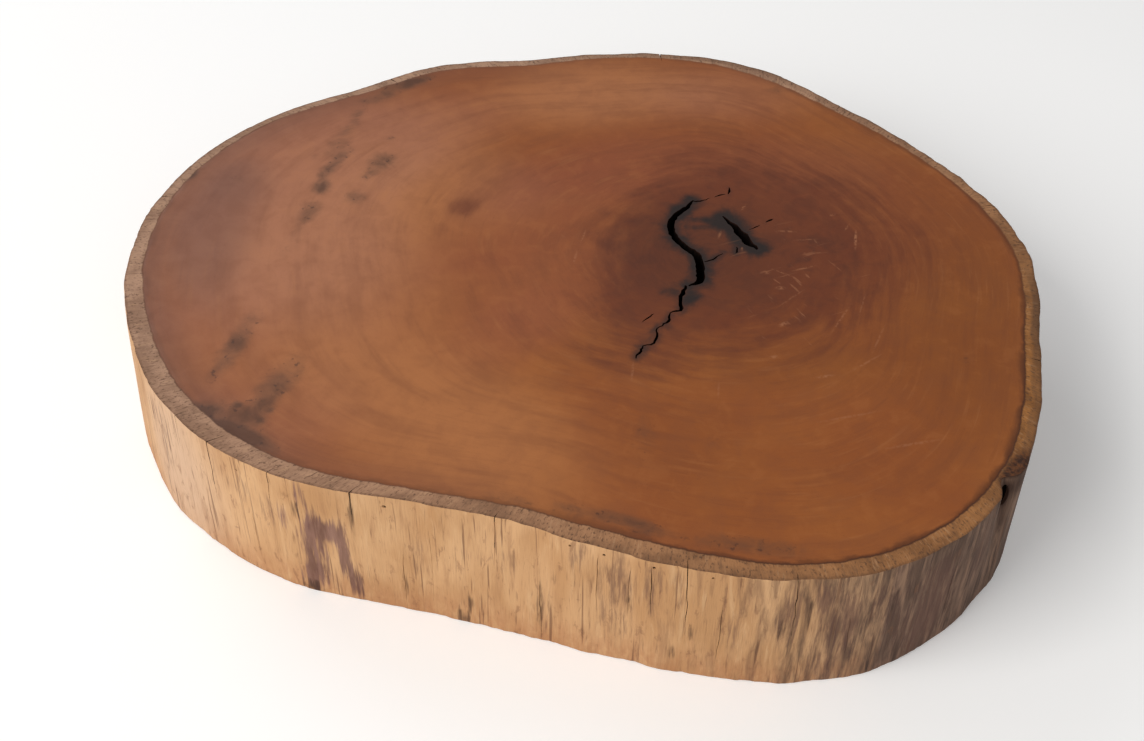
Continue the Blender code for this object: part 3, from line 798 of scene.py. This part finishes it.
def join(tree, value, socket):
    """Wire a value into a socket, or set it there where it is a plain number or colour."""
    if isinstance(value, bpy.types.NodeSocket):
        tree.links.new(value, socket)
    else:
        socket.default_value = value


def stored(tree, name, output="Fac"):
    """A value kept on the mesh's points."""
    node = tree.nodes.new("ShaderNodeAttribute")
    node.attribute_name = name
    return node.outputs[output]


def reckon(kind, *values):
    """One step of arithmetic, in the finish that the first wired value belongs to."""
    tree = next(value.id_data for value in values if isinstance(value, bpy.types.NodeSocket))
    node = tree.nodes.new("ShaderNodeMath")
    node.operation = kind
    for value, socket in zip(values, node.inputs):
        join(tree, value, socket)
    return node.outputs[0]


def times(first, second):
    """Product of two values."""
    return reckon("MULTIPLY", first, second)


def plus(first, second):
    """Sum of two values."""
    return reckon("ADD", first, second)


def axis_of(place, axis):
    """One coordinate of a place."""
    node = place.id_data.nodes.new("ShaderNodeSeparateXYZ")
    join(place.id_data, place, node.inputs[0])
    return node.outputs[axis]


def ease(value, low, high, start=0.0, end=1.0):
    """Smooth step from start to end as the value goes from low to high."""
    tree = value.id_data
    node = tree.nodes.new("ShaderNodeMapRange")
    node.interpolation_type = "SMOOTHSTEP"
    for name, setting in (("Value", value), ("From Min", low), ("From Max", high), ("To Min", start),
                          ("To Max", end)):
        join(tree, setting, node.inputs[name])
    return node.outputs["Result"]


def zone(tree, name, most, full=1.0):
    """Share of a zone kept on the mesh, as a smooth step up to most where the zone is full."""
    return ease(stored(tree, name), 0.0, full, 0.0, most)


def lay(share, under, over):
    """One colour laid over another by a share."""
    tree = share.id_data
    node = tree.nodes.new("ShaderNodeMix")
    node.data_type = "RGBA"
    for value, socket in zip((share, under, over), (node.inputs[0], node.inputs[6], node.inputs[7])):
        join(tree, value, socket)
    return node.outputs[2]


def coats(colour, *layers):
    """A colour under layers of others, each laid on by its own share, in order."""
    for share, over in layers:
        colour = lay(share, colour, over)
    return colour


def grain(where, squash, detail=3.0, rough=0.55, warp=0.0, turn=0.0, shift=0.0):
    """Cloudy noise, with as many cells to a unit along each axis as squash says, turned in the plane."""
    tree = where.id_data
    place = tree.nodes.new("ShaderNodeMapping")
    place.vector_type = "TEXTURE"
    tree.links.new(where, place.inputs["Vector"])
    place.inputs["Rotation"].default_value = (0.0, 0.0, turn)
    place.inputs["Scale"].default_value = tuple(1 / cells for cells in squash)
    place.inputs["Location"].default_value = (shift, shift, shift)
    noise = tree.nodes.new("ShaderNodeTexNoise")
    tree.links.new(place.outputs["Vector"], noise.inputs["Vector"])
    for name, setting in (("Scale", 1.0), ("Detail", detail), ("Roughness", rough), ("Distortion", warp)):
        noise.inputs[name].default_value = setting
    return noise.outputs["Fac"]


def ragged(mask, noise, size, low, high, most):
    """Share of a stain: its soft mask, torn by a noise, as a smooth step from nothing up to most."""
    torn = times(ease(mask, 0.0, 0.3), ease(noise, 0.25, 0.75, -size, size))
    return ease(plus(mask, torn), low, high, 0.0, most)


def finish_with(name, colour_of, specular):
    """New material whose colour, roughness and height come from colour_of(tree, place)."""
    finish = bpy.data.materials.new(name)
    finish.use_nodes = True
    tree = finish.node_tree
    shader = tree.nodes["Principled BSDF"]
    place = tree.nodes.new("ShaderNodeTexCoord").outputs["Object"]
    colour, roughness, height, depth = colour_of(tree, place)
    join(tree, colour, shader.inputs["Base Color"])
    join(tree, roughness, shader.inputs["Roughness"])
    shader.inputs["Specular IOR Level"].default_value = specular
    bump = tree.nodes.new("ShaderNodeBump")
    bump.inputs["Strength"].default_value = 1.0
    bump.inputs["Distance"].default_value = depth
    tree.links.new(height, bump.inputs["Height"])
    tree.links.new(bump.outputs["Normal"], shader.inputs["Normal"])
    return finish


def sapwood_colour(tree, rim):
    """Dry sapwood end grain: tan on one side and golden brown on the other, finely hatched across the
    ring, with dark specks."""
    hatch = grain(rim, (560, 560, 80), 3.0, 0.6)
    patch = grain(rim, (45, 45, 70), 4.0, 0.62)
    speck = grain(rim, (800, 800, 420), 2.0, 0.6)
    crushed = grain(rim, (300, 300, 300), 4.0, 0.65)
    gold = stored(tree, "ring_gold")
    light = lay(gold, tone(180, 142, 117), tone(162, 107, 55))
    dark = lay(gold, tone(152, 117, 95), tone(128, 82, 40))
    burnt = lay(ease(crushed, 0.36, 0.66), tone(48, 27, 20), tone(104, 62, 34))
    inset = times(TO_MM, axis_of(rim, "Z"))
    outer = times(ease(inset, 2.6, 0.2), ease(speck, 0.3, 0.6, 0.25, 0.70))
    # Painted shade: the outer half of the ring is darkened where the bulging wall would show from above,
    # weathered and in shade.
    leaning_wall_shade = plus(inset, ease(patch, 0.3, 0.7, -1.6, 1.6))
    leaning_wall_shade = times(ease(leaning_wall_shade, 6.6, 4.2, 0.0, 0.85), stored(tree, "ring_shade"))
    colour = coats(
        light,
        (ease(patch, 0.36, 0.64), dark),
        (ease(hatch, 0.50, 0.74, 0.0, 0.48), tone(104, 76, 56)),
        (ease(hatch, 0.46, 0.28, 0.0, 0.32), tone(196, 156, 118)),
        (outer, tone(96, 66, 46)),
        (leaning_wall_shade, tone(92, 66, 48)),
        (times(stored(tree, "scar"), 0.97), burnt),
        (ease(speck, 0.55, 0.70, 0.0, 0.70), tone(78, 54, 40)))
    return colour, speck


def face_colour(tree, place):
    """Heartwood under oil: amber and russet clouds, broad zones that are partly painted light, shade and
    sheen, ring strokes, the wine-red heart, stains, pale scratches, and the dark line against the
    sapwood."""
    rings, rim = stored(tree, "ring_space", "Vector"), stored(tree, "rim_space", "Vector")
    cloud = grain(place, (8, 8, 8), 4.0, 0.55, 0.5)
    clear = ease(grain(place, (15, 15, 15), 2.0, 0.5, shift=1.9), 0.40, 0.62, 0.35, 1.0)
    mottle = grain(place, (70, 70, 70), 3.0, 0.6, 0.4)
    wide_stroke = grain(rings, (2.8, 2.8, 11), 5.0, 0.60)
    fine_stroke = grain(rings, (5.5, 5.5, 46), 3.0, 0.6, 0.1)
    pale_stroke = grain(rings, (4.5, 4.5, 30), 4.0, 0.6, 0.1, shift=3.7)
    pores = grain(place, (1500, 1500, 1500), 2.0, 0.6)
    dot_noise = grain(place, (260, 260, 260), 2.0, 0.6)

    swirl = ease(grain(rings, (2.2, 2.2, 7), 4.0, 0.62, 0.4, shift=6.4), 0.32, 0.68, -0.12, 0.12)
    dusk = plus(stored(tree, "dusk"), ease(wide_stroke, 0.3, 0.7, -0.12, 0.12))
    dusk = plus(dusk, times(swirl, ease(stored(tree, "dusk"), 0.0, 0.3)))
    smear = times(ease(mottle, 0.44, 0.66, 0.0, 0.24), ease(dusk, 0.3, 0.9))
    deep = times(stored(tree, "deep_dusk"), ease(fine_stroke, 0.3, 0.7, 0.52, 0.36))
    stained = stored(tree, "stain")
    dots = times(ease(dot_noise, 0.60, 0.72), ease(stained, 0.08, 0.40, 0.0, 0.55))
    heartwood = coats(
        tone(158, 91, 40),
        (ease(cloud, 0.35, 0.65), tone(147, 80, 35)),
        # Golden zones: partly the wood's tone, partly painted light, lighter towards the lit left.
        (zone(tree, "golden", 0.70, 1.1), tone(184, 119, 70)),
        # Rosy zones: partly the wood's tone, partly painted sheen, paler and greyer to the left and far
        # side.
        (zone(tree, "rosy_and_painted_sheen", 0.38), tone(180, 126, 106)),
        (zone(tree, "ruddy", 0.42), tone(136, 71, 60)),
        # Brown zones: partly the wood's tone, partly painted shade, darker mostly towards the right.
        (zone(tree, "umber_and_painted_shade", 0.50), tone(122, 68, 24)),
        (ease(wide_stroke, 0.46, 0.68, 0.0, 0.22), tone(114, 62, 36)),
        (times(clear, ease(fine_stroke, 0.52, 0.70, 0.0, 0.13)), tone(104, 56, 34)),
        (times(clear, ease(pale_stroke, 0.54, 0.72, 0.0, 0.20)), tone(182, 118, 68)),
        (ease(mottle, 0.40, 0.70, 0.0, 0.17), tone(116, 66, 42)),
        (ease(mottle, 0.48, 0.30, 0.0, 0.12), tone(182, 116, 66)),
        (ease(dusk, 0.0, 1.0, 0.0, 0.82), tone(103, 49, 28)),
        (smear, tone(74, 40, 28)),
        (deep, tone(66, 34, 25)),
        # Brownish band inside the rim, and at the far left painted reflection haze of the oil.
        (zone(tree, "rim_band_and_painted_haze", 0.60), tone(108, 70, 58)),
        (ragged(stained, mottle, 0.18, 0.02, 0.75, 0.62), tone(98, 66, 47)),
        (ragged(stained, mottle, 0.30, 0.55, 1.05, 0.46), tone(60, 38, 28)),
        (dots, tone(58, 35, 28)),
        (ragged(stored(tree, "bloom"), mottle, 0.24, 0.02, 0.92, 0.94), tone(34, 29, 28)),
        (ease(pores, 0.60, 0.74, 0.0, 0.20), tone(70, 38, 26)),
        (scratches(tree, place), tone(176, 118, 82)))

    waver = ease(grain(rim, (90, 90, 90), 4.0, 0.65), 0.3, 0.7, -0.55, 0.55)
    wobble = plus(stored(tree, "heart_edge"), waver)
    width = ease(grain(rim, (34, 34, 90), 3.0, 0.6), 0.36, 0.64, 2.4, 7.0)
    soft_line = ease(wobble, width, 0.0, 0.0, 0.72)
    dark_line = ease(wobble, 1.9, 0.2, 0.0, 0.9)
    line = times(reckon("MAXIMUM", soft_line, dark_line), ease(wobble, -0.9, 0.1))
    sapwood, speck = sapwood_colour(tree, rim)
    bare = ease(wobble, 0.5, -0.5)
    colour = coats(heartwood, (bare, sapwood),
                   (times(line, stored(tree, "edge_line")), tone(66, 35, 21)))

    roughness = plus(ease(mottle, 0.3, 0.7, 0.44, 0.54), times(bare, 0.34))
    height = plus(times(fine_stroke, 0.10), times(speck, bare))
    return colour, roughness, height, 0.25 * MM


def scratches(tree, place):
    """Share of the pale scratches beside the cracks: fine crossing lines, and single soft ovals that a
    finer noise breaks up."""
    lines = [ease(grain(place, squash, 2.0, 0.5, 0.0, turn, shift), 0.66, 0.78)
             for squash, turn, shift in (((40, 420, 60), 0.35, 0.0), ((90, 360, 60), -0.95, 0.7))]
    total = times(reckon("MAXIMUM", *lines), stored(tree, "scratched"))
    broken = ease(grain(place, (420, 420, 420), 2.0, 0.6), 0.34, 0.58)
    for at_x, at_y, long, wide, turn, strength in FLECKS:
        spot = tree.nodes.new("ShaderNodeMapping")
        spot.vector_type = "TEXTURE"
        tree.links.new(place, spot.inputs["Vector"])
        spot.inputs["Location"].default_value = (PITH[0] + at_x * MM, PITH[1] + at_y * MM, THICKNESS)
        spot.inputs["Rotation"].default_value = (0.0, 0.0, math.radians(turn))
        spot.inputs["Scale"].default_value = (long * MM, wide * MM, 1.0)
        away = tree.nodes.new("ShaderNodeVectorMath")
        away.operation = "LENGTH"
        tree.links.new(spot.outputs[0], away.inputs[0])
        oval = ease(away.outputs["Value"], 1.5, 0.2, 0.0, 0.85 * strength)
        total = reckon("MAXIMUM", total, times(oval, broken))
    return total


def wall_colour(tree, place):
    """Debarked wall: tan sapwood with brown streaks and smudges, a plum patch, dark stains, a reddish
    foot, a left end painted paler as lit by the main lamp, and a weathered grey-brown side that is
    also painted into shade."""
    broad = grain(place, (24, 24, 12), 3.0, 0.55, 0.4)
    streak = grain(place, (170, 170, 20), 4.0, 0.62, 0.5)
    thin = grain(place, (430, 430, 34), 3.0, 0.6, 0.3, shift=5.3)
    fibre = grain(place, (1100, 1100, 70), 3.0, 0.6)
    blot = grain(place, (200, 200, 80), 4.0, 0.65, 0.5, shift=2.1)
    hairline = grain(place, (430, 430, 9), 2.0, 0.5, 0.2, shift=1.4)
    fine_streak = grain(place, (430, 430, 36), 4.0, 0.65, 0.3, shift=3.2)
    height = times(TO_MM, axis_of(place, "Z"))

    # The reddish foot is kept off the part painted pale as lit.
    outside_painted_light = reckon("SUBTRACT", 1.0, stored(tree, "painted_light"))
    foot = times(ease(height, 32.0, 2.0), ease(blot, 0.35, 0.6, 0.15, 0.50))
    grey = lay(ease(streak, 0.34, 0.64), tone(130, 102, 86), tone(84, 65, 56))
    # The weathered grey also paints shade on the side turned away from the main lamp.
    weather_and_shade = plus(stored(tree, "weathered_and_shaded"), ease(streak, 0.3, 0.7, -0.20, 0.20))
    smudge = ragged(ease(blot, 0.50, 0.74), streak, 0.35, 0.35, 1.0, 0.42)
    torn_grey = times(ease(fine_streak, 0.48, 0.66, 0.0, 0.60), ease(weather_and_shade, 0.2, 0.8))
    purple = lay(ease(streak, 0.35, 0.65), tone(126, 92, 88), tone(88, 58, 58))
    colour = coats(
        tone(208, 164, 120),
        (ease(broad, 0.34, 0.66), tone(188, 142, 98)),
        # Painted light: the left end of the wall is painted paler, as lit by the main lamp.
        (times(stored(tree, "painted_light"), 0.80), tone(208, 176, 150)),
        (ease(streak, 0.50, 0.72, 0.0, 0.34), tone(160, 114, 80)),
        (ease(streak, 0.46, 0.28, 0.0, 0.34), tone(222, 184, 142)),
        (ease(fibre, 0.50, 0.72, 0.0, 0.26), tone(148, 106, 76)),
        (times(foot, outside_painted_light), tone(168, 112, 76)),
        (ease(weather_and_shade, 0.10, 0.95, 0.0, 0.94), grey),
        (smudge, tone(128, 88, 64)),
        (ease(thin, 0.60, 0.74, 0.0, 0.50), tone(104, 70, 54)),
        (ease(hairline, 0.635, 0.70, 0.0, 0.60), tone(98, 64, 48)),
        (torn_grey, tone(62, 48, 42)),
        (ragged(stored(tree, "plum"), thin, 0.50, 0.18, 0.95, 0.80), purple),
        (ragged(stored(tree, "smoke"), fine_streak, 0.60, 0.12, 1.10, 0.64), tone(104, 74, 63)),
        (ragged(stored(tree, "soot"), thin, 0.55, 0.15, 1.00, 0.72), tone(66, 45, 36)),
        (times(stored(tree, "scar"), 0.92), tone(52, 29, 19)))
    relief = plus(times(fibre, 0.5), times(thin, -0.8))
    return colour, 0.82, relief, 0.30 * MM


def under_colour(tree, place):
    """Underside as the saw left it: the same rings, dry and dull, under straight saw marks."""
    saw = grain(place, (6, 420, 6), 3.0, 0.6, 0.1, turn=0.35)
    stroke = grain(stored(tree, "ring_space", "Vector"), (4.5, 4.5, 20), 4.0, 0.6, 0.3, shift=8.2)
    cloud = grain(place, (14, 14, 14), 4.0, 0.6, 0.4)
    sapwood, _ = sapwood_colour(tree, stored(tree, "rim_space", "Vector"))
    colour = coats(
        tone(150, 108, 78),
        (ease(cloud, 0.35, 0.65), tone(132, 90, 66)),
        (ease(stroke, 0.46, 0.66, 0.0, 0.5), tone(106, 70, 52)),
        (zone(tree, "dusk", 0.7), tone(88, 58, 48)),
        (ease(saw, 0.48, 0.62, 0.0, 0.30), tone(176, 142, 112)),
        (ease(stored(tree, "heart_edge"), 0.8, -0.6), sapwood))
    return colour, 0.85, saw, 0.5 * MM


def crack_shade_colour(tree, place):
    """Inside of a crack: dark old wood painted near black as shade, browner near the face where less
    shade is painted, with its fibres running up.
    """
    fibre = grain(place, (700, 700, 60), 3.0, 0.6)
    height = times(TO_MM, axis_of(place, "Z"))
    # Painted shade: near black inside the crack, easing to brown at the lip.
    colour = coats(
        tone(22, 15, 13),
        (ease(fibre, 0.35, 0.65), tone(12, 9, 8)),
        (ease(height, 93.6, 95.0, 0.0, 0.60), tone(52, 30, 22)))
    return colour, 0.9, fibre, 0.3 * MM


shape.materials.clear()
for finish in (("oiled_face", face_colour, 0.34), ("debarked_wall", wall_colour, 0.18),
               ("sawn_underside", under_colour, 0.2), ("crack_walls", crack_shade_colour, 0.0)):
    shape.materials.append(finish_with(*finish))

middle, facing = np.empty((2, 3 * len(shape.polygons)), dtype=np.float32)
shape.polygons.foreach_get("center", middle)
shape.polygons.foreach_get("normal", facing)
middle, facing = middle.reshape(-1, 3).astype(float), facing.reshape(-1, 3)
face_x, face_y = middle[:, 0] - PITH[0], middle[:, 1] - PITH[1]
face_turn = np.arctan2(face_y, face_x) % (2 * math.pi)
face_inset = torn_wall(face_turn, middle[:, 2]) - np.hypot(face_x, face_y)
on_face = (facing[:, 2] > LEVEL_FACING) & (middle[:, 2] > THICKNESS - FACE_BAND)
on_foot = (facing[:, 2] < -LEVEL_FACING) & (middle[:, 2] < FOOT_BAND)
on_wall = (face_inset < WALL_BAND) & ~on_face & ~on_foot
finish_of_face = np.where(on_face, 0, np.where(on_foot, 2, np.where(on_wall, 1, 3)))
shape.polygons.foreach_set("material_index", finish_of_face.astype(np.int32))
shape.shade_smooth()
shape.set_sharp_from_angle(angle=SHARP_EDGE)
shape.update()

# The layout for baking
# A flat map of the skin, for models that carry their colours as a picture: the upper face, the wall
# unrolled in two strips, the underside at a smaller scale, and a cell for each face inside a crack.

# Side of the map in pixels, and metres from the slice's middle to the left and lower edge of a patch
MAP_SIDE = 1024
MAP_MARGIN = 0.284, 0.239
# Pixels to a metre and the corner of the patch in pixels, for the upper face and the underside
FACE_PATCH = (1500, 4, 303)
UNDER_PATCH = (275, 863, 886)
# Pixels to a metre, the left edge of both strips and the foot of each
WALL_STRIPS = (1232, 6, (6, 130))
# Side of a cell in pixels, and the share of it that a face reaches out from its middle
CELL_SIDE = 5.0
CELL_FILL = 0.42
# Blocks of cells: corner in pixels and cells in a row, and how many cells the first block holds
CELL_BLOCKS = ((862, 303, 32), (4, 252, 203))
FIRST_CELLS = 3680
# A face of the wall that faces outwards less than this has a cell too
LEAST_OUTWARD = 0.3


def patch_places(spot, scale, left, low):
    """Places in pixels on a patch that is seen straight on."""
    return (spot[:, :2] + MAP_MARGIN) * scale + [left, low]


def strip_places(spot, owner_share):
    """Places in pixels on the unrolled wall, where each corner stays on its own face's strip."""
    share = even_share(np.arctan2(spot[:, 1] - PITH[1], spot[:, 0] - PITH[0]))
    share = owner_share + (share - owner_share + 0.5) % 1 - 0.5
    scale, left, lows = WALL_STRIPS
    second = owner_share >= 0.5
    across = left + (share - 0.5 * second) * OUTLINE_LENGTH * scale
    return np.stack([across, np.where(second, lows[1], lows[0]) + spot[:, 2] * scale], axis=1)


def cell_places(cell, corner, corners):
    """Places in pixels of a face's corners, evenly round the middle of its own cell."""
    second = cell >= FIRST_CELLS
    left, low, in_row = np.array(CELL_BLOCKS)[second.astype(int)].T
    cell = cell - FIRST_CELLS * second
    angle = 2 * math.pi * corner / corners
    radius = CELL_FILL * CELL_SIDE
    return np.stack([left + (cell % in_row + 0.5) * CELL_SIDE + radius * np.cos(angle),
                     low + (cell // in_row + 0.5) * CELL_SIDE + radius * np.sin(angle)], axis=1)


sizes = np.empty(len(shape.polygons), dtype=np.int32)
vertex_of = np.empty(len(shape.loops), dtype=np.int32)
shape.polygons.foreach_get("loop_total", sizes)
shape.loops.foreach_get("vertex_index", vertex_of)
owner = np.repeat(np.arange(len(sizes)), sizes)
corner = np.arange(len(owner)) - np.repeat(np.cumsum(sizes) - sizes, sizes)
spot = point.reshape(-1, 3).astype(float)[vertex_of]
outward = facing[:, 0] * np.cos(face_turn) + facing[:, 1] * np.sin(face_turn)
patch = np.where(on_wall & (outward < LEAST_OUTWARD), 3, finish_of_face)
cell = np.cumsum(patch == 3) - 1
places = cell_places(cell[owner], corner, sizes[owner])
for number, laid in ((0, patch_places(spot, *FACE_PATCH)),
                     (1, strip_places(spot, even_share(face_turn)[owner])),
                     (2, patch_places(spot * [-1, 1, 1], *UNDER_PATCH))):
    places = np.where((patch[owner] == number)[:, None], laid, places)
layout = shape.uv_layers.new(name="OFBake")
layout.data.foreach_set("uv", (places / MAP_SIDE).astype(np.float32).ravel())

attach(wood_slice, "root")
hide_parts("wood_slice")

# The studio
# A plain white floor and soft lamps: the main one high on the left, a wide one behind for the sheen
# on the oil, and a little light from all round.
FLOOR_REACH = 6.0
FLOOR_COLOUR = (0.95, 0.95, 0.95, 1.0)
FLOOR_GLOW = 0.14
FLOOR_LEVEL = -0.4 * MM
FLOOR_ROUGHNESS = 0.9
ROOM_LIGHT = 0.30
LAMP_TARGET = (0.0, 0.0, 0.05)
# Lamps: name, place, size, power in watts, colour
LAMPS = (("main_lamp", (-2.6, -1.6, 2.5), 2.6, 112, (1.0, 0.98, 0.95)),
         ("sheen_lamp", (-1.5, 1.9, 1.8), 1.6, 16, (0.97, 0.98, 1.0)),
         ("front_lamp", (0.6, -2.4, 2.4), 2.0, 11, (1.0, 0.99, 0.97)))


def studio_floor():
    """Square floor under the slice, a hair below its underside."""
    corners = [(side_x * FLOOR_REACH, side_y * FLOOR_REACH, FLOOR_LEVEL)
               for side_x, side_y in ((-1, -1), (1, -1), (1, 1), (-1, 1))]
    mesh = bpy.data.meshes.new("studio_floor")
    mesh.from_pydata(corners, [], [(0, 1, 2, 3)])
    paint = bpy.data.materials.new("floor_paint")
    paint.use_nodes = True
    shader = paint.node_tree.nodes["Principled BSDF"]
    shader.inputs["Base Color"].default_value = FLOOR_COLOUR
    shader.inputs["Roughness"].default_value = FLOOR_ROUGHNESS
    shader.inputs["Emission Color"].default_value = (1.0, 1.0, 1.0, 1.0)
    shader.inputs["Emission Strength"].default_value = FLOOR_GLOW
    mesh.materials.append(paint)
    floor = bpy.data.objects.new("studio_floor", mesh)
    bpy.context.scene.collection.objects.link(floor)
    return floor


def hang_lamp(name, place, size, power, colour):
    """Square soft lamp that shines at the middle of the slice."""
    lamp = bpy.data.lights.new(name, "AREA")
    lamp.shape, lamp.size, lamp.energy, lamp.color = "SQUARE", size, power, colour
    thing = bpy.data.objects.new(name, lamp)
    thing.location = place
    back = np.array(place) - LAMP_TARGET
    back /= np.linalg.norm(back)
    thing.rotation_euler = (math.acos(back[2]), 0.0, math.atan2(back[1], back[0]) + math.pi / 2)
    bpy.context.scene.collection.objects.link(thing)


studio_floor()
for lamp in LAMPS:
    hang_lamp(*lamp)
world = bpy.data.worlds.new("room")
world.use_nodes = True
sky = world.node_tree.nodes["Background"]
sky.inputs["Color"].default_value = (1.0, 1.0, 1.0, 1.0)
sky.inputs["Strength"].default_value = ROOM_LIGHT
bpy.context.scene.world = world
bpy.context.scene.view_settings.view_transform = "Standard"
